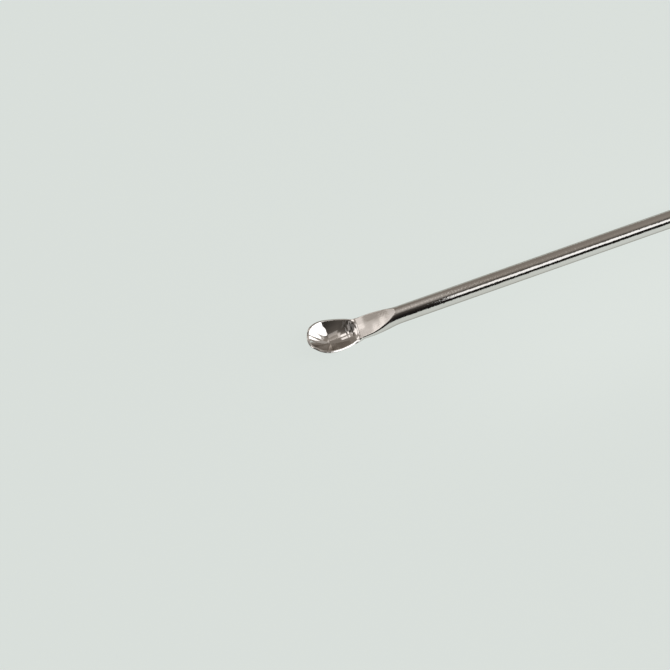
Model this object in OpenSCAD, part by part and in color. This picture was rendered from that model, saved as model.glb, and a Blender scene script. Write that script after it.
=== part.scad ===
// Lab spatula: one piece of steel rod, with a spoon forged on one end and a flat blade on the other.
// It lies as it rests on a table at z = 0, with the rod along X, the spoon's tip at -X and the bowl up.

/* [Rod] */
// Overall length, from the spoon's tip to the blade's tip
overall_l = 150; // [130:5:180]
// Diameter of the rod
rod_d = 3; // [2.8:0.1:3.2]

/* [Neck] */
// Length of the neck, from the round rod to the bowl
neck_l = 7.8; // [7:0.1:9]
// Width of the neck
neck_w = 4.5; // [4.2:0.1:5]
// Thickness of the neck where it is thinnest, beside the bowl
neck_t = 0.62; // [0.56:0.02:0.8]
// Length of the hollow that is pressed into each side of the neck
neck_hollow_l = 7.3; // [6.6:0.1:8]

/* [Bowl] */
// Length of the bowl, from its tip to the neck
bowl_l = 9; // [8.5:0.1:10]
// Width of the bowl over its rim
bowl_w = 7.3; // [6.6:0.1:7.6]
// Thickness of the bowl's wall
wall_t = 0.58; // [0.5:0.02:0.66]
// Drop of the bowl's floor below the neck
floor_drop = 1; // [0.7:0.05:1.05]
// Length of the slope from the neck down to the level floor
floor_slope_l = 3.8; // [3.6:0.2:5]
// Drop of the short step with which that slope begins
step_drop = 0.5; // [0.2:0.05:0.5]
// Length of that step
step_l = 1.6; // [0.8:0.1:1.6]
// Height that the rim gains towards the tip
tip_lift = 1.85; // [1.4:0.05:2]

/* [Blade] */
// Length of the blade's flat part, with its round tip
blade_l = 40; // [30:1:50]
// Width of the blade
blade_w = 7; // [5.5:0.5:8]
// Thickness of the blade
blade_t = 1; // [0.8:0.05:1.2]
// Length of the shoulder between the rod and the blade
shoulder_l = 12; // [9:0.5:16]

/* [Hidden] */
$fn = 64;

rod_r = rod_d / 2;
axis_z = rod_r;
tip_x = -overall_l / 2;

// A forged end runs this far into the rod or the blade, and lies this far inside its surface there
overlap = 0.3;
seat = 0.01;

// Half of the angle that a section's rounded edge turns through
round_edge = 85;
neck_edge = 42;
rim_edge = 20;
square_edge = 4;

// Facets along half a section's face, round its edge, and stations along each stretch of an end
face_n = 9;
edge_n = 5;
hollow_n = 18;
step_n = 6;
trough_n = 10;
fan_n = 16;
shoulder_n = 14;

// Distances from the spoon's tip
flats_at = bowl_l + neck_l;
hollow_from = flats_at - 1;
bowl_r = bowl_w / 2;
shoulder_sink = 0.2;
press_l = 1.8;
lift_from = bowl_l - 0.4;
lift_ends_at = 0.5;

// Drop of the rim over the last stretch to the tip, and that stretch's length
tip_dip = 0.4;
tip_dip_l = 1;

// How far a section's curve goes from a parabola, at 0, towards two straight walls
section_bend = 1.5;

// Half thickness at which a section is as good as round
round_t = (rod_r - seat) * sin(round_edge);

function smooth(t) = let (k = min(1, max(0, t))) k * k * (3 - 2 * k);
function mix(a, b, k) = a + (b - a) * k;

// Share of a section's rise at share v of its half width, on a hyperbola, and the slope there
function rise_share(v) = (sqrt(1 + pow(section_bend * v, 2)) - 1) / (sqrt(1 + pow(section_bend, 2)) - 1);
function slope_share(v) =
    pow(section_bend, 2) * v / sqrt(1 + pow(section_bend * v, 2)) / (sqrt(1 + pow(section_bend, 2)) - 1);

// Lean at the rim of a section with half width w and rise h
function lean(w, h) = atan2(slope_share(1) * h, w);

// How far the rounded edge of a section reaches out past its middle line, where that leans by b
function edge_reach(c, edge, b) = b > edge ? c * sin(b) : c * (1 - cos(edge) * cos(b)) / sin(edge);

// Half width of a section's middle line, so that its rounded edge reaches out to half width `outer`
function mid_w(outer, h, c, edge, b = 0, n = 8) =
    let (w = outer - edge_reach(c, edge, b))
    n == 0 ? w : mid_w(outer, h, c, edge, lean(w, h), n - 1);

// Point at share v of the section's middle line, moved by `off` along its normal
function face_point(w, b, z, v, off) =
    let (h = w * tan(b) / slope_share(1), a = atan(slope_share(v) * h / w))
    [w * v - off * sin(a), z + h * rise_share(v) + off * cos(a)];

// Point on the rounded edge that joins the two faces, `turn` from its middle
function edge_point(w, b, z, c, edge, turn) =
    let (m = face_point(w, b, z, 1, 0), r = c / sin(edge), out = r * (cos(turn) - cos(edge)), up = r * sin(turn))
    [m[0] + out * cos(b) - up * sin(b), m[1] + out * sin(b) + up * cos(b)];

// Half of a section, from its middle over the upper face, round the edge and back along the lower face
function half_section(outer, z_mid, z_rim, c, edge) =
    let (w = mid_w(outer, z_rim - z_mid, c, edge), b = lean(w, z_rim - z_mid))
    concat(
        [for (i = [0:face_n]) face_point(w, b, z_mid, i / face_n, c)],
        [for (i = [1:edge_n - 1]) edge_point(w, b, z_mid, c, edge, edge * (1 - 2 * i / edge_n))],
        [for (i = [face_n:-1:0]) face_point(w, b, z_mid, i / face_n, -c)]
    );

// Spoon end: half thickness, half width, edge angle, and heights of the rim and of the middle, at distance u
function spoon_pressed(u) = smooth((bowl_l - u) / press_l);
function neck_half_t(u) =
    let (k = max(0, 1 - (hollow_from - u) / neck_hollow_l))
    mix(neck_t / 2, round_t, min(1, k * k));
function spoon_t(u) = mix(neck_half_t(u), wall_t / 2, spoon_pressed(u));
function spoon_w(u) =
    let (flare = smooth((flats_at - 0.4 - u) / (neck_l - 2.2)),
         round_out = min(1, max(0, (bowl_l + shoulder_sink - u) / (bowl_l + shoulder_sink - bowl_r))))
    mix(rod_r - seat, neck_w / 2, flare) + (bowl_r - neck_w / 2) * sin(90 * round_out);
function spoon_edge(u) =
    mix(max(neck_edge, asin(min(sin(round_edge), spoon_t(u) / rod_r))), rim_edge, spoon_pressed(u));
function spoon_rim(u) =
    let (k = min(1, max(0, (lift_from - u) / (lift_from - lift_ends_at))))
    tip_lift * pow(k, 1.5) - tip_dip * smooth((tip_dip_l - u) / tip_dip_l);
function spoon_mid(u) =
    -step_drop * smooth((bowl_l - u) / step_l) - (floor_drop - step_drop) * smooth((bowl_l - u) / floor_slope_l);

// Stations from the rod to the middle of the bowl's round end
function stretch(from, to, n) = [for (i = [0:n - 1]) mix(from, to, i / n)];
spoon_stations = concat(
    [flats_at + overlap, flats_at, flats_at - 0.5],
    stretch(hollow_from, bowl_l, hollow_n),
    stretch(bowl_l, bowl_l - step_l, step_n),
    stretch(bowl_l - step_l, bowl_r, trough_n),
    [bowl_r]
);

function spoon_half(u) = half_section(spoon_w(u), spoon_mid(u), spoon_rim(u), spoon_t(u), spoon_edge(u));

// Ribs of the round end fan out from the bowl's middle, at `turn` from the crosswise direction
function fan_half(turn) =
    let (u = bowl_r * (1 - sin(turn)))
    half_section(bowl_r, spoon_mid(bowl_r), spoon_rim(u), spoon_t(u), spoon_edge(u));

// Closed skin over sections at stations, from the rod outwards. With fans, the last section is fanned
// round its middle to close the end; without, it is closed flat
module skin(stations, halves, fans = []) {
    m = len(halves[0]);
    loop = 2 * m - 2;
    last = len(stations) - 1;
    turns = len(fans) + 1;
    fan_base = (last + 1) * loop;
    centres = fan_base + len(fans) * (m - 2);

    function rib(f, j) =
        f == 0 || j == 0 || j == m - 1 ? last * loop + j
        : f == turns ? last * loop + loop - j
        : fan_base + (f - 1) * (m - 2) + j - 1;
    function middle(k) = [stations[k], 0, (halves[k][0][1] + halves[k][m - 1][1]) / 2];

    sections = [for (k = [0:last]) each concat(
        [for (p = halves[k]) [stations[k], p[0], p[1]]],
        [for (j = [m - 2:-1:1]) [stations[k], -halves[k][j][0], halves[k][j][1]]])];
    ribs = [for (f = [1:1:turns - 1], j = [1:m - 2])
        let (turn = 180 * f / turns, p = fans[f - 1][j])
        [stations[last] - p[0] * sin(turn), p[0] * cos(turn), p[1]]];

    tube = [for (k = [0:last - 1], i = [0:loop - 1])
        let (a = k * loop + i, b = k * loop + (i + 1) % loop) each
        [[a, b + loop, b], [a, a + loop, b + loop]]];
    inner_cap = [for (i = [0:loop - 1]) [centres, i, (i + 1) % loop]];
    outer_cap = [for (i = [0:loop - 1]) [centres + 1, last * loop + (i + 1) % loop, last * loop + i]];
    round_end = [for (f = [0:turns - 1], j = [0:m - 2])
        let (a = rib(f, j), b = rib(f, j + 1), c = rib(f + 1, j + 1), d = rib(f + 1, j)) each
        concat(b == c ? [] : [[a, c, b]], a == d ? [] : [[a, d, c]])];
    polyhedron(
        concat(sections, ribs, [middle(0), middle(last)]),
        concat(inner_cap, tube, turns == 1 ? outer_cap : round_end)
    );
}

module spoon_end() {
    fans = [for (f = [1:2 * fan_n - 1]) let (turn = 90 * f / fan_n) fan_half(turn)];
    translate([tip_x, 0, axis_z])
        skin(spoon_stations, [for (u = spoon_stations) spoon_half(u)], fans);
}

module rod() {
    from = tip_x + flats_at;
    to = -tip_x - blade_l - shoulder_l;
    translate([from, 0, axis_z])
        rotate([0, 90, 0])
            cylinder(h = to - from, d = rod_d);
}

// Shoulder: its underside stays on the table while the rod thins and widens into the blade
function shoulder_half(k) =
    let (c = mix(round_t, blade_t / 2 - seat, k), drop = round_t - c, outer = mix(rod_r - seat, blade_w / 2 - seat, k))
    half_section(outer, -drop, -drop, c, max(square_edge, asin(min(sin(round_edge), c / rod_r)) * (1 - k)));

module blade_shoulder() {
    steps = [for (i = [0:shoulder_n]) i / shoulder_n];
    shares = concat([0], [for (s = steps) smooth(s)], [1]);
    stations = concat([shoulder_l + overlap], [for (s = steps) shoulder_l * (1 - s)], [-overlap]);
    translate([-tip_x - blade_l, 0, axis_z])
        mirror([1, 0, 0])
            skin(stations, [for (k = shares) shoulder_half(k)]);
}

module blade() {
    tip_r = blade_w / 2;
    translate([-tip_x, 0, 0])
        linear_extrude(blade_t) {
            translate([-blade_l, -tip_r])
                square([blade_l - tip_r, blade_w]);
            translate([-tip_r, 0])
                circle(r = tip_r);
        }
}

module spatula() {
    color("silver")
        union() {
            spoon_end();
            rod();
            blade_shoulder();
            blade();
        }
}

spatula();
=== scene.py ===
"""Lab spatula in polished steel: a round rod with a forged spoon at one end and a flat blade at the other.

The whole spatula is one skin of half sections. Each half section starts over the rod's axis, runs out over
the upper face, round the edge and back below. The half sections stand side by side along the back, fan round
the spoon's tip, come back along the front and fan round the blade's tip, which closes the skin.
"""
import math

import bpy
import numpy as np
from mathutils import Matrix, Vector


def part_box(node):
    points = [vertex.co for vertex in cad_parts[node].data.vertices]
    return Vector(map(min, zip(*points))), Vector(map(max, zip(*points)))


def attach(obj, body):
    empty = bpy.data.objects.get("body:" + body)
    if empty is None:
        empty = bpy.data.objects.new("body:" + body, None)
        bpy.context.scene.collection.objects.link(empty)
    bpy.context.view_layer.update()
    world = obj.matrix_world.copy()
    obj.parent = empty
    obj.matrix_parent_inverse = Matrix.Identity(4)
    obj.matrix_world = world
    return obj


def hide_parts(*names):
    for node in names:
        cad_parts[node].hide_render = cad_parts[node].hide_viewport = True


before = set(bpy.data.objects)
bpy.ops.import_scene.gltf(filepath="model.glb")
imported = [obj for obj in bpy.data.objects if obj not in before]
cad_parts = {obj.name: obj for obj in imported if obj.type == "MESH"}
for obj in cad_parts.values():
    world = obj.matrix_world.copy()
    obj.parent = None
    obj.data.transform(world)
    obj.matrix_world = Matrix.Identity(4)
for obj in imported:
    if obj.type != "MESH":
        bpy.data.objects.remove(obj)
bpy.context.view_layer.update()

# ---------------------------------------------------------------- driving sizes, in metres
MM = 0.001
(low_x, _, low_z), (high_x, _, _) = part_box("spatula")
ROD_R = 1.5 * MM
AXIS_Z = low_z + ROD_R
SPOON_TIP_X = low_x
BLADE_TIP_X = high_x

NECK_L = 7.8 * MM
NECK_W = 4.5 * MM
NECK_T = 0.62 * MM
NECK_HOLLOW_L = 7.3 * MM
NECK_DOME = 0.05 * MM  # how far the neck's edges lie below its middle
FLARE_L = NECK_L - 2.2 * MM  # length over which the neck gains its width

BOWL_L = 9.0 * MM
BOWL_W = 7.3 * MM
WALL_T = 0.58 * MM
FLOOR_DROP = 1.0 * MM
FLOOR_SLOPE_L = 3.8 * MM
STEP_DROP = 0.5 * MM
STEP_L = 1.6 * MM
PRESS_L = 1.8 * MM  # length over which the neck's section changes to the bowl's
TIP_LIFT = 1.85 * MM
TIP_DIP = 0.4 * MM
TIP_DIP_L = 1.0 * MM
SECTION_BEND = 1.5  # from 0 for a parabola across the bowl towards two straight walls

BLADE_L = 40.0 * MM
BLADE_W = 7.0 * MM
BLADE_R = BLADE_W / 2
BLADE_T = 1.0 * MM
SHOULDER_L = 12.0 * MM

# distances from the spoon's tip
FLATS_AT = BOWL_L + NECK_L
HOLLOW_FROM = FLATS_AT - 1.0 * MM
FLARE_FROM = FLATS_AT - 0.4 * MM
SHOULDER_FROM = BOWL_L + 0.2 * MM
LIFT_FROM = BOWL_L - 0.4 * MM
LIFT_ENDS_AT = 0.5 * MM
BOWL_R = BOWL_W / 2  # also the radius of its round end

# folds in the floor on the step: where each begins, its length and its depth
FOLDS = [
    (8.98 * MM, 0.3 * MM, 0.07 * MM),
    (8.0 * MM, 0.3 * MM, 0.05 * MM),
    (7.5 * MM, 0.3 * MM, 0.04 * MM),
    (7.0 * MM, 0.3 * MM, 0.03 * MM),
]

# half of the angle that a section's rounded edge turns through
ROUND_EDGE = math.radians(85)
NECK_EDGE = math.radians(42)
RIM_EDGE = math.radians(3)
SQUARE_EDGE = math.radians(4)
ROUND_T = ROD_R * math.sin(ROUND_EDGE)  # half thickness at which a section is as good as round

# the bowl's rim: the lean that it is filed to in front, the same behind and round the tip, and the most
# that it is turned from square to the wall
RIM_CUT = math.radians(58)
RIM_CUT_FLAT = math.radians(76)
RIM_CUT_MAX = math.radians(25)
RIM_CUT_L = 1.2 * MM  # length over which the filing changes
FILED_FROM = BOWL_L + 0.6 * MM
FLATTER_FROM = BOWL_R + 0.3 * MM
RIM_THINNED = 0.2 * MM  # how much thinner the wall has been ground from below where it meets the rim

SOFTENED = 0.12 * MM  # how far polishing has rounded each sharp edge
LIP_SOFTENED = 0.1 * MM  # the same on the inner edge of the bowl's rim
SOFT_OF_FACE, SOFT_OF_EDGE = 0.3, 0.6  # the most that it takes of a face and of half an edge

# points across a half section: upper face, softened corner, edge, softened corner, lower face
FACE_N = 34
SOFT_N = 5
EDGE_N = 32
UNDER_N = 26

# half sections along each stretch, and round each tip
NECK_RIBS, STEP_RIBS, TROUGH_RIBS, SPOON_FAN_RIBS = 110, 120, 40, 141
ROD_RIBS, SHOULDER_RIBS, BLADE_RIBS, BLADE_FAN_RIBS = 24, 61, 8, 81
CLOSE_FROM, CLOSE_TO = BOWL_L + 0.1 * MM, BOWL_L - 2.2 * MM  # where they stand closest, round the step
WELD = 1e-8  # points this close to each other are one


# ---------------------------------------------------------------- shape
def smooth(t):
    """3t^2 - 2t^3 between 0 and 1, and level outside."""
    t = np.clip(t, 0.0, 1.0)
    return t * t * (3.0 - 2.0 * t)


def mix(a, b, k):
    """a plus share k of the way to b."""
    return a + (b - a) * k


def rise_share(v):
    """Share of a section's rise at share v of its half width: a hyperbola, level in the middle."""
    return (np.sqrt(1.0 + (SECTION_BEND * v) ** 2) - 1.0) / (math.sqrt(1.0 + SECTION_BEND ** 2) - 1.0)


def slope_share(v):
    """Slope of rise_share."""
    top = SECTION_BEND ** 2 * v / np.sqrt(1.0 + (SECTION_BEND * v) ** 2)
    return top / (math.sqrt(1.0 + SECTION_BEND ** 2) - 1.0)


def half_sections(outer, z_mid, z_rim, c, edge, lip=0.0, cut=0.0, thinned=0.0):
    """Half sections, one row each, as distances from the middle and heights, in a (rows, points, 2) array.

    The middle line of a section runs from (0, z_mid) to (w, z_rim) as rise_share says. It leans by
    atan(slope_share(v) rise / w), which is b at the rim. The upper face is that line moved up its normal by
    the half thickness c. The lower face is the line moved down by c - thinned v^3, so the wall is thinnest
    at the rim. An arc that turns by twice edge joins the ends of the two faces, and w is such that the
    section reaches out as far as outer.

    lip is 0 for a plain section and 1 for the bowl's rim. There the end of the wall, which is square to the
    middle line at first, is filed towards the lean cut: the upper face ends before the middle line and the
    lower face after it. Each corner is softened by a quadratic curve through its two sides.
    """
    values = (np.atleast_1d(np.asarray(a, float)) for a in (outer, z_mid, z_rim, c, edge, lip, cut, thinned))
    outer, z_mid, z_rim, c, edge, lip, cut, thinned = (a[:, None] for a in np.broadcast_arrays(*values))
    below = c - thinned
    half_t = (c + below) / 2.0
    rise = z_rim - z_mid
    over = np.zeros_like(outer)
    b = np.zeros_like(outer)
    for _ in range(30):  # w, b and over hang on each other, and have settled long before the last turn
        corner_reach = below * np.sin(b) + over * below / c * np.cos(b)
        bulge_reach = half_t * (1.0 - np.cos(edge) * np.cos(b)) / np.sin(edge) - thinned / 2.0 * np.sin(b)
        w = outer - np.where(b > edge, corner_reach, np.maximum(corner_reach, bulge_reach))
        b = np.arctan2(slope_share(1.0) * rise, w)
        over = c * np.tan(lip * np.clip(cut - b, -RIM_CUT_MAX, RIM_CUT_MAX))
    length = w / np.cos(b)
    over = over / length
    over_below = over * below / c

    def face(v, off):
        lean = np.arctan2(slope_share(v) * rise, w)
        z = z_mid + rise * rise_share(v)
        return np.stack([w * v - off * np.sin(lean), z + off * np.cos(lean)], -1)

    top, bottom = face(1.0 - over, c), face(1.0 + over_below, -below)
    chord = top - bottom
    half = np.linalg.norm(chord, axis=-1, keepdims=True) / 2.0
    up = chord / (2.0 * half)
    out = np.stack([up[..., 1], -up[..., 0]], -1)
    middle = (top + bottom) / 2.0
    radius = half / np.sin(edge)[..., None]

    def rounded(turn):
        turn = turn[..., None]
        return middle + radius * ((np.cos(turn) - np.cos(edge)[..., None]) * out + np.sin(turn) * up)

    room = np.minimum(SOFT_OF_FACE * length, SOFT_OF_EDGE * radius[..., 0] * edge)
    soft_in = np.minimum(mix(SOFTENED, LIP_SOFTENED, lip), room)
    soft = np.minimum(SOFTENED, room)
    t = np.linspace(0.0, 1.0, SOFT_N + 2)[None, 1:-1, None]

    def corner(start, sharp, end):
        return (1 - t) ** 2 * start + 2 * t * (1 - t) * sharp + t ** 2 * end

    upper = face(np.linspace(0.0, 1.0, FACE_N)[None] * (1.0 - over - soft_in / length), c)
    v = np.linspace(1.0, 0.0, UNDER_N)[None] * (1.0 + over_below - soft / length)
    lower = face(v, thinned * v ** 3 - c)
    turn_in, turn_out = edge - soft_in / radius[..., 0], edge - soft / radius[..., 0]
    side = rounded(mix(turn_in, -turn_out, np.linspace(0.0, 1.0, EDGE_N)[None]))
    first = corner(upper[:, -1:], top, side[:, :1])
    second = corner(side[:, -1:], bottom, lower[:, :1])
    return np.concatenate([upper, first, side, second, lower], 1)


def pressed(u):
    """0 on the neck and 1 in the bowl, at distance u from the spoon's tip."""
    return smooth((BOWL_L - u) / PRESS_L)


def filed(u):
    """0 on the neck and 1 where the rim is filed."""
    return smooth((FILED_FROM - u) / RIM_CUT_L)


def rim_cut(u, side):
    """Lean that the rim is filed to: RIM_CUT along the front (side 1), and flatter behind it (side 0).

    Near the tip the front's lean, too, goes over to RIM_CUT_FLAT.
    """
    return mix(RIM_CUT_FLAT, RIM_CUT, side * (1.0 - smooth((FLATTER_FROM - u) / RIM_CUT_L)))


def spoon_half_thickness(u):
    """The rod's at the rod, then falling to the neck's as a parabola, and the wall's in the bowl."""
    along = np.clip(1.0 - (HOLLOW_FROM - u) / NECK_HOLLOW_L, 0.0, 1.0)
    return mix(mix(NECK_T / 2, ROUND_T, along ** 2), WALL_T / 2, pressed(u))


def spoon_half_width(u):
    """The rod's at the rod, flared smoothly to the neck's, and growing to the bowl's as a quarter sine."""
    flare = smooth((FLARE_FROM - u) / FLARE_L)
    shoulder = np.clip((SHOULDER_FROM - u) / (SHOULDER_FROM - BOWL_R), 0.0, 1.0)
    return mix(ROD_R, NECK_W / 2, flare) + (BOWL_R - NECK_W / 2) * np.sin(shoulder * math.pi / 2)


def edge_of_flattened_rod(half_thickness):
    """Half the angle of the arc that is left of the rod's round side where the rod is flattened."""
    return np.arcsin(np.minimum(math.sin(ROUND_EDGE), half_thickness / ROD_R))


def spoon_edge(u):
    """The flattened rod's edge, NECK_EDGE at the least, and RIM_EDGE on the filed rim."""
    return mix(np.maximum(NECK_EDGE, edge_of_flattened_rod(spoon_half_thickness(u))), RIM_EDGE, filed(u))


def spoon_rim(u):
    """Height of the rim: it rises with the power 1.5 of the way to the tip, and dips a little before it.

    On the neck it is the edge, which lies lower than the middle by NECK_DOME.
    """
    rise = np.clip((LIFT_FROM - u) / (LIFT_FROM - LIFT_ENDS_AT), 0.0, 1.0) ** 1.5
    dome = NECK_DOME * smooth((FLATS_AT - u) / NECK_L) * (1.0 - pressed(u))
    return TIP_LIFT * rise - TIP_DIP * smooth((TIP_DIP_L - u) / TIP_DIP_L) - dome


def spoon_middle(u):
    """Height of the floor: a short step, a long slope to the level floor, and the folds on the step."""
    step = STEP_DROP * smooth((BOWL_L - u) / STEP_L)
    slope = (FLOOR_DROP - STEP_DROP) * smooth((BOWL_L - u) / FLOOR_SLOPE_L)
    return -step - slope - folds(u)


def folds(u):
    """Shallow folds that the press leaves across the step, each a small drop, taken back over the slope."""
    down = sum(depth * smooth((place - u) / length) for place, length, depth in FOLDS)
    back = sum(depth for _, _, depth in FOLDS) * smooth((FOLDS[0][0] - u) / FLOOR_SLOPE_L)
    return down - back


def spoon_ribs(u, side):
    """Half sections at distances u from the spoon's tip, in front (side 1) or behind (side 0)."""
    return half_sections(
        spoon_half_width(u), spoon_middle(u), spoon_rim(u), spoon_half_thickness(u), spoon_edge(u), filed(u),
        rim_cut(u, side), RIM_THINNED * pressed(u)
    )


def spoon_fan(turn):
    """Half sections that fan round the middle of the bowl, from turn 0 behind it over pi/2 at the tip to pi.

    The rim has the height that belongs to its distance from the tip. Its filing goes over from the back's
    lean to the front's round the tip.
    """
    u = BOWL_R * (1.0 - np.sin(turn))
    in_front = smooth(0.5 - 2.0 * np.cos(turn))
    return half_sections(
        BOWL_R, spoon_middle(BOWL_R), spoon_rim(u), spoon_half_thickness(u), spoon_edge(u), filed(u),
        rim_cut(u, in_front), RIM_THINNED * pressed(u)
    )


def blade_ribs(k):
    """Half sections of the shoulder at share k of its change from rod to blade, with the underside level."""
    c = mix(ROUND_T, BLADE_T / 2, k)
    drop = c - ROUND_T
    edge = np.maximum(SQUARE_EDGE, edge_of_flattened_rod(c) * (1.0 - k))
    return half_sections(mix(ROD_R, BLADE_R, k), drop, drop, c, edge)


def spans(*stretches):
    """Distances along stretches given as (from, to, number), each without its last point."""
    return np.concatenate([np.linspace(a, b, n, endpoint=False) for a, b, n in stretches])


def placed(ribs, x, along_x, along_y):
    """Ribs as 3D points: each stands at x on the axis and runs out in the direction (along_x, along_y)."""
    points = np.empty(ribs.shape[:2] + (3,))
    points[..., 0] = np.reshape(x, (-1, 1)) + ribs[..., 0] * np.reshape(along_x, (-1, 1))
    points[..., 1] = ribs[..., 0] * np.reshape(along_y, (-1, 1))
    points[..., 2] = AXIS_Z + ribs[..., 1]
    return points


def spatula_points():
    """Every half section of the spatula in order round its outline, as a (ribs, points, 3) array."""
    u = spans(
        (FLATS_AT, CLOSE_FROM, NECK_RIBS), (CLOSE_FROM, CLOSE_TO, STEP_RIBS), (CLOSE_TO, BOWL_R, TROUGH_RIBS)
    )
    k = np.linspace(0.0, 1.0, SHOULDER_RIBS)
    rod_end_x = BLADE_TIP_X - BLADE_L - SHOULDER_L
    rod_x = spans((rod_end_x, SPOON_TIP_X + FLATS_AT, ROD_RIBS))
    rod = np.repeat(spoon_ribs(np.array([FLATS_AT]), 0.0), len(rod_x), 0)

    blade_x = spans((BLADE_TIP_X - BLADE_R, BLADE_TIP_X - BLADE_L, BLADE_RIBS))
    flat = np.repeat(blade_ribs(np.array([1.0])), len(blade_x), 0)
    behind = np.concatenate([
        placed(flat, blade_x, 0.0, 1.0),
        placed(blade_ribs(smooth(k))[::-1], (rod_end_x + SHOULDER_L * k)[::-1], 0.0, 1.0),
        placed(rod, rod_x, 0.0, 1.0)[1:],
        placed(spoon_ribs(u, 0.0), SPOON_TIP_X + u, 0.0, 1.0),
    ])
    front = behind.copy()
    front[-len(u):] = placed(spoon_ribs(u, 1.0), SPOON_TIP_X + u, 0.0, 1.0)
    in_front = front[::-1] * (1.0, -1.0, 1.0)

    turn = np.linspace(0.0, math.pi, SPOON_FAN_RIBS)
    spoon_tip = placed(spoon_fan(turn), SPOON_TIP_X + BOWL_R, -np.sin(turn), np.cos(turn))
    turn = np.linspace(math.pi, 0.0, BLADE_FAN_RIBS)[1:-1]
    flat = np.repeat(blade_ribs(np.array([1.0])), len(turn), 0)
    blade_tip = placed(flat, BLADE_TIP_X - BLADE_R, np.sin(turn), np.cos(turn))
    return np.concatenate([behind, spoon_tip, in_front, blade_tip])


def skin_mesh(name, points):
    """A closed mesh over a (ribs, points, 3) array.

    Equal points are welded and the last rib is joined to the first. Faces whose corners fall together at the
    axis become triangles or go.
    """
    ribs, across = points.shape[:2]
    flat = points.reshape(-1, 3)
    cells = np.round(flat / WELD).astype(np.int64)
    _, first, which = np.unique(cells, axis=0, return_index=True, return_inverse=True)
    which = which.reshape(ribs, across)
    near, far = which[:, :-1], which[:, 1:]
    quads = np.stack([near, far, np.roll(far, -1, 0), np.roll(near, -1, 0)], -1).reshape(-1, 4)
    whole = ~(quads == np.roll(quads, -1, 1)).any(1)
    rings = [list(dict.fromkeys(quad)) for quad in quads[~whole].tolist()]
    triangles = [ring for ring in rings if len(ring) == 3]
    mesh = bpy.data.meshes.new(name)
    mesh.from_pydata(flat[first].tolist(), [], quads[whole].tolist() + triangles)
    mesh.validate()
    mesh.polygons.foreach_set("use_smooth", np.ones(len(mesh.polygons), bool))
    mesh.update()
    return mesh


# ---------------------------------------------------------------- materials
STEEL_BRIGHT = (0.78, 0.765, 0.745)
STEEL_DULL = (0.72, 0.69, 0.655)
STEEL_EDGE = (0.4, 0.37, 0.34)
STEEL_ROUGHNESS = (0.05, 0.11)  # where it is bright and where it is dull

# marks in the steel: scale along the rod against that across it, noise cells per metre, detail, and height
GRAIN = (1.0, 3600.0, 2.0, 0.016 * MM)
HAIRS = (0.02, 3000.0, 3.0, 0.006 * MM)
STROKES = (0.03, 2200.0, 2.0, 0.008 * MM)
BRUSHED = (0.03, 1500.0, 4.0, 0.012 * MM)
RIPPLES = (0.15, 700.0, 2.0, 0.012 * MM)
NOISE_ROUGHNESS = 0.6
ALL_ROD_FROM = FLATS_AT + 3.0 * MM  # from here the rod's marks have their full height
# the duller patches, in the same terms, and the noise levels over which roughness and colour change
PATCHES = (0.4, 160.0, 3.0)
ROUGHNESS_OVER = (0.35, 0.7)
COLOUR_OVER = (0.3, 0.75)

FLOOR_TONE = (0.708, 0.753, 0.723)
FLOOR_ROUGHNESS = 0.9
FLOOR_GLOW = 0.85  # share of the floor's look that is its own glow
FLOOR_GLOW_STRENGTH = 1.09


def node_makers(tree):
    """Two functions that add nodes to a tree.

    make adds a node, sets its properties and feeds its inputs with numbers or other outputs. calc adds a
    Math node over numbers or other outputs, and gives back its output.
    """
    def make(kind, inputs=(), **properties):
        node = tree.nodes.new(kind)
        for name, value in properties.items():
            setattr(node, name, value)
        for socket, value in dict(inputs).items():
            if isinstance(value, bpy.types.NodeSocket):
                tree.links.new(value, node.inputs[socket])
            else:
                node.inputs[socket].default_value = value
        return node

    def calc(operation, *values):
        return make("ShaderNodeMath", dict(enumerate(values)), operation=operation).outputs[0]

    return make, calc


def new_material(name):
    """A new material with the two makers for its nodes and its Principled shader."""
    material = bpy.data.materials.new(name)
    material.use_nodes = True
    return material, *node_makers(material.node_tree), material.node_tree.nodes["Principled BSDF"]


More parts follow.
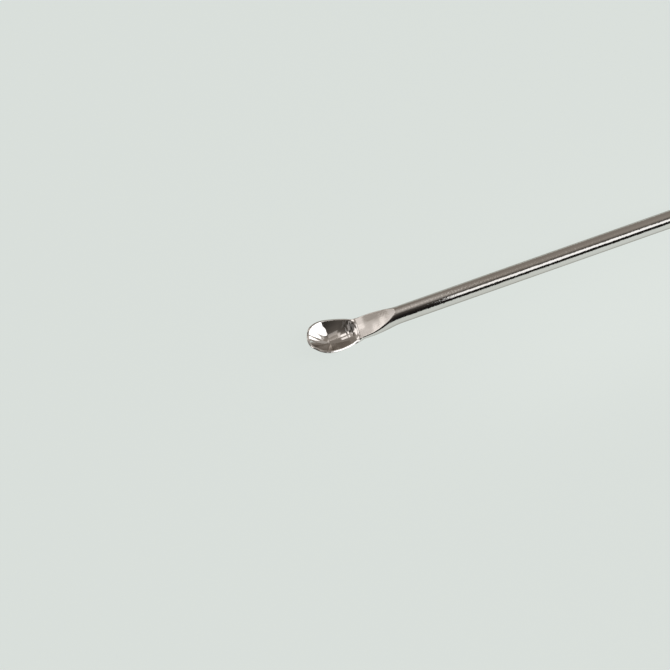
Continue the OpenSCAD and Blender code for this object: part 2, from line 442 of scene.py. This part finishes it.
def polished_steel():
    """Polished stainless steel, with what its making left on it.

    The rod and blade keep a fine grain and hair lines along their length, and the blade is brushed as well.
    The pressed bowl has broader strokes instead, and the neck some of each. Long shallow ripples run along
    the whole. Handling has left slightly duller, browner patches.
    """
    material, make, calc, bsdf = new_material("polished_steel")
    links = material.node_tree.links
    place = make("ShaderNodeTexCoord").outputs["Object"]
    x = make("ShaderNodeSeparateXYZ", {0: place}).outputs[0]

    def rising(from_x, to_x):
        return make("ShaderNodeMapRange", {
            "Value": x, "From Min": from_x, "From Max": to_x,
        }, interpolation_type="SMOOTHSTEP").outputs["Result"]

    def noise(stretch, scale, detail):
        along = make("ShaderNodeMapping", {"Vector": place, "Scale": (stretch, 1.0, 1.0)}).outputs[0]
        return make("ShaderNodeTexNoise", {
            "Vector": along, "Scale": scale, "Detail": detail, "Roughness": NOISE_ROUGHNESS,
        }).outputs["Fac"]

    def marks(stretch, scale, detail, height):
        return calc("MULTIPLY", noise(stretch, scale, detail), height)

    on_rod = rising(SPOON_TIP_X + BOWL_L, SPOON_TIP_X + ALL_ROD_FROM)
    on_blade = rising(BLADE_TIP_X - BLADE_L - SHOULDER_L, BLADE_TIP_X - BLADE_L)
    rod_marks = calc("MULTIPLY", calc("ADD", marks(*GRAIN), marks(*HAIRS)), on_rod)
    bowl_marks = calc("MULTIPLY", marks(*STROKES), calc("SUBTRACT", 1.0, on_rod))
    blade_marks = calc("MULTIPLY", marks(*BRUSHED), on_blade)
    fine = calc("ADD", calc("ADD", rod_marks, bowl_marks), blade_marks)
    bump = make("ShaderNodeBump", {"Height": calc("ADD", fine, marks(*RIPPLES)), "Distance": 1.0})
    links.new(bump.outputs["Normal"], bsdf.inputs["Normal"])

    patches = noise(*PATCHES)
    roughness = make("ShaderNodeMapRange", {
        "Value": patches, "From Min": ROUGHNESS_OVER[0], "From Max": ROUGHNESS_OVER[1],
        "To Min": STEEL_ROUGHNESS[0], "To Max": STEEL_ROUGHNESS[1],
    })
    links.new(roughness.outputs["Result"], bsdf.inputs["Roughness"])
    tone = make("ShaderNodeValToRGB", {"Fac": patches})
    for stop, position, colour in zip(tone.color_ramp.elements, COLOUR_OVER, (STEEL_BRIGHT, STEEL_DULL)):
        stop.position = position
        stop.color = (*colour, 1)
    links.new(tone.outputs["Color"], bsdf.inputs["Base Color"])
    bsdf.inputs["Metallic"].default_value = 1.0
    bsdf.inputs["Specular Tint"].default_value = (*STEEL_EDGE, 1)
    return material


def floor_material():
    """Pale table top: matt, and with a glow of its own where the camera or the steel sees it."""
    material, make, calc, bsdf = new_material("pale_floor")
    bsdf.inputs["Base Color"].default_value = (*FLOOR_TONE, 1)
    bsdf.inputs["Roughness"].default_value = FLOOR_ROUGHNESS
    bsdf.inputs["Specular IOR Level"].default_value = 0.0
    glow = make("ShaderNodeEmission", {"Color": (*FLOOR_TONE, 1), "Strength": FLOOR_GLOW_STRENGTH})
    path = make("ShaderNodeLightPath").outputs
    share = calc("MULTIPLY", calc("MAXIMUM", path["Is Camera Ray"], path["Is Glossy Ray"]), FLOOR_GLOW)
    blend = make("ShaderNodeMixShader", {"Fac": share, 1: bsdf.outputs[0], 2: glow.outputs[0]})
    surface = material.node_tree.nodes["Material Output"].inputs["Surface"]
    material.node_tree.links.new(blend.outputs[0], surface)
    return material


# ---------------------------------------------------------------- the piece
steel = polished_steel()
spatula = bpy.data.objects.new("spatula_skin", skin_mesh("spatula_skin", spatula_points()))
bpy.context.collection.objects.link(spatula)
spatula.data.materials.append(steel)
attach(spatula, "root")
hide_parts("spatula")

# ---------------------------------------------------------------- floor
FLOOR_HALF = 6.0
floor_mesh = bpy.data.meshes.new("floor")
floor_mesh.from_pydata([
    (-FLOOR_HALF, -FLOOR_HALF, low_z), (FLOOR_HALF, -FLOOR_HALF, low_z),
    (FLOOR_HALF, FLOOR_HALF, low_z), (-FLOOR_HALF, FLOOR_HALF, low_z),
], [], [(0, 1, 2, 3)])
floor = bpy.data.objects.new("floor", floor_mesh)
bpy.context.collection.objects.link(floor)
floor.data.materials.append(floor_material())

# ---------------------------------------------------------------- camera, room and lamps
# The camera looks down on the spoon from in front, rolled so that the rod climbs at ROD_CLIMB
VIEW_ELEVATION = math.radians(54)
ROD_CLIMB = math.radians(19.4)
PIXELS = 670
PIXELS_PER_MM = 5.87
VIEW_WIDTH = PIXELS / PIXELS_PER_MM * MM
CAMERA_DISTANCE = 1.2
SENSOR_WIDTH = 36.0
AIM_FROM_TIP = 4.84 * MM
AIM_UP = 0.35 * MM

# the room's brightness by the angle over the rod, in degrees from the front horizon to the back one
ROOM = [(0, 0.012), (35, 0.015), (55, 0.05), (75, 0.12), (88, 0.28), (110, 0.3), (140, 0.24), (180, 0.28)]
ROOM_TINT = (1.0, 0.89, 0.79)
ROOM_LEAN = math.radians(110)

WHITE = (1.0, 1.0, 1.0)
WARM = (1.0, 0.96, 0.94)
KEY_L = 0.3
KEY_FROM = FLATS_AT + 8.8 * MM
BOWL = BOWL_R  # the middle of its round end
ROD_START = FLATS_AT + 4.0 * MM

# The lamps: name; place on the rod's axis that it faces, from the spoon's tip; side angle and elevation in
# degrees; distance, width and height in metres; brightness; colour; turn in degrees and lift, if any
LAMPS = [
    # the highlight along the rod, and the light on top of it where it starts
    ("key", KEY_FROM + KEY_L / 2, 0, 46, 0.03, KEY_L, 0.014, 1.2, WHITE),
    ("rod_start", ROD_START, 0, 101, 0.12, 0.012, 0.12, 0.18, WHITE),
    # cards close over the neck
    ("neck_card", 8.6 * MM, 0, 127, 0.016, 0.004, 0.006, 0.12, WARM),
    ("neck_front", 8.6 * MM, 0, 117, 0.016, 0.004, 0.006, 0.25, WARM),
    ("neck_edge", 8.6 * MM, 0, 110, 0.016, 0.004, 0.006, 0.08, WARM),
    ("neck_start", 8.9 * MM, 0, 131, 0.025, 0.003, 0.007, 0.5, WARM),
    ("neck_end", -0.6 * MM, 0, 117, 0.05, 0.003, 0.014, 0.35, WARM),
    ("neck_tip", -4.2 * MM, 0, 121, 0.05, 0.003, 0.014, 0.5, WARM),
    # panels overhead and behind, which the bowl's trough mirrors, and one card
    ("trough_front", BOWL, -10, 113.5, 1.0, 0.18, 0.25, 0.85, WARM),
    ("trough_end", BOWL, -2.6, 105, 0.99, 0.09, 0.54, 0.5, WARM),
    ("trough_low", BOWL, -9.5, 143, 1.0, 0.2, 0.3, 0.9, WARM),
    ("trough_left", BOWL, 3, 85, 0.1, 0.008, 0.028, 0.25, WARM),
    ("trough_back", BOWL, -20, 145, 1.0, 0.3, 0.36, 0.14, WARM),
    # panels on the left
    ("left_middle", BOWL, -26, 130, 1.0, 0.12, 0.25, 0.3, WARM),
    ("left_side", BOWL, -42, 118, 1.02, 0.3, 0.6, 0.13, WARM),
    ("left_top", BOWL, -25, 92, 0.98, 0.2, 0.5, 0.3, WARM),
    ("left_fill", BOWL, -20, 64, 1.0, 0.5, 0.5, 0.07, WARM),
    ("left_low", BOWL, -37, 143, 0.98, 0.24, 0.21, 1.2, WARM),
    # panels on the right
    ("right_panel", BOWL, 72.5, 28, 1.0, 0.5, 1.7, 1.9, WHITE, 45, 0.6),
    ("lip_end", BOWL, 32, 19, 1.0, 0.4, 0.62, 1.2, WHITE),
    ("right_end", BOWL, 16, 70, 1.0, 0.16, 0.14, 1.2, WHITE),
    ("right_low", BOWL, 42, 140, 1.0, 0.7, 0.7, 0.18, WHITE),
    ("right_top", BOWL, 68, 70, 1.0, 0.3, 0.1, 1.5, WHITE),
    ("right_back", BOWL, 55, 87, 1.0, 0.25, 0.24, 0.3, WHITE),
    ("right_far", BOWL, 71, 153, 1.0, 0.34, 0.32, 1.4, WHITE),
]


def placement(columns):
    """The matrix whose columns are the directions of an object's x, y and z axes and its place."""
    matrix = np.eye(4)
    matrix[:3] = np.stack(columns, -1)
    return Matrix(matrix.tolist())


def rolled(right, up, roll):
    """The directions right and up, turned by roll from right towards up."""
    return math.cos(roll) * right + math.sin(roll) * up, math.cos(roll) * up - math.sin(roll) * right


def add_camera():
    """A long lens at CAMERA_DISTANCE, which sees VIEW_WIDTH across there."""
    data = bpy.data.cameras.new("camera")
    data.sensor_width = SENSOR_WIDTH
    data.lens = SENSOR_WIDTH * CAMERA_DISTANCE / VIEW_WIDTH
    data.clip_end = 20.0
    camera = bpy.data.objects.new("camera", data)
    bpy.context.collection.objects.link(camera)
    back = np.array([0.0, -math.cos(VIEW_ELEVATION), math.sin(VIEW_ELEVATION)])
    along = np.array([1.0, 0.0, 0.0])
    up = np.cross(back, along)
    right, over = rolled(along, up, -ROD_CLIMB)
    aim = np.array([SPOON_TIP_X + AIM_FROM_TIP, 0.0, AXIS_Z]) + AIM_UP * up
    camera.matrix_world = placement([right, over, back, aim + CAMERA_DISTANCE * back])
    bpy.context.scene.camera = camera


def bearing(side, elevation):
    """Unit vector at that side angle to the right and that elevation in front, both in degrees."""
    s, e = math.radians(side), math.radians(elevation)
    return np.array([math.sin(s), -math.cos(s) * math.cos(e), math.cos(s) * math.sin(e)])


def add_softbox(name, faces_at, side, elevation, distance, width, height, radiance, colour, turn=0, lift=0):
    """A rectangular lamp that faces the rod's axis from that side angle and elevation, over 90 behind it.

    Its power is pi times its area times the radiance, so that a mirror shows it as that bright. turn turns
    it in its own plane, in degrees, and lift then moves it along its own height.
    """
    data = bpy.data.lights.new(name, "AREA")
    data.shape = "RECTANGLE"
    data.size, data.size_y, data.color = width, height, colour
    data.energy = math.pi * width * height * radiance
    lamp = bpy.data.objects.new(name, data)
    bpy.context.collection.objects.link(lamp)
    back = bearing(side, elevation)
    right = bearing(side + 90, elevation)
    right, over = rolled(right, np.cross(back, right), math.radians(turn))
    place = np.array([SPOON_TIP_X + faces_at, 0.0, AXIS_Z]) + distance * back + lift * over
    lamp.matrix_world = placement([right, over, back, place])
    lamp.visible_camera = False


def add_room():
    """A dim warm room round the table: black low in front, brown-grey overhead and behind.

    The angle over the rod runs from 0 at the front horizon over the top to 180 degrees at the back horizon.
    On the left the room leans, by ROOM_LEAN times the share of the direction that runs along the rod.
    """
    world = bpy.data.worlds.new("room")
    bpy.context.scene.world = world
    world.use_nodes = True
    make, calc = node_makers(world.node_tree)
    direction = make("ShaderNodeTexCoord").outputs["Generated"]
    along, across, up = make("ShaderNodeSeparateXYZ", {0: direction}).outputs
    angle = calc("ARCTAN2", up, calc("MULTIPLY", across, -1.0))
    lean = calc("MULTIPLY", calc("MINIMUM", along, 0.0), ROOM_LEAN)
    ramp = make("ShaderNodeValToRGB", {"Fac": calc("DIVIDE", calc("ADD", angle, lean), math.pi)})
    stops = ramp.color_ramp.elements
    for degrees, _ in ROOM[1:-1]:
        stops.new(degrees / 180.0)
    for stop, (_, level) in zip(stops, ROOM):
        stop.color = (*(level * np.array(ROOM_TINT)), 1.0)
    world.node_tree.links.new(ramp.outputs["Color"], world.node_tree.nodes["Background"].inputs["Color"])


add_camera()
add_room()
for lamp in LAMPS:
    add_softbox(*lamp)

bpy.context.scene.view_settings.view_transform = "Standard"
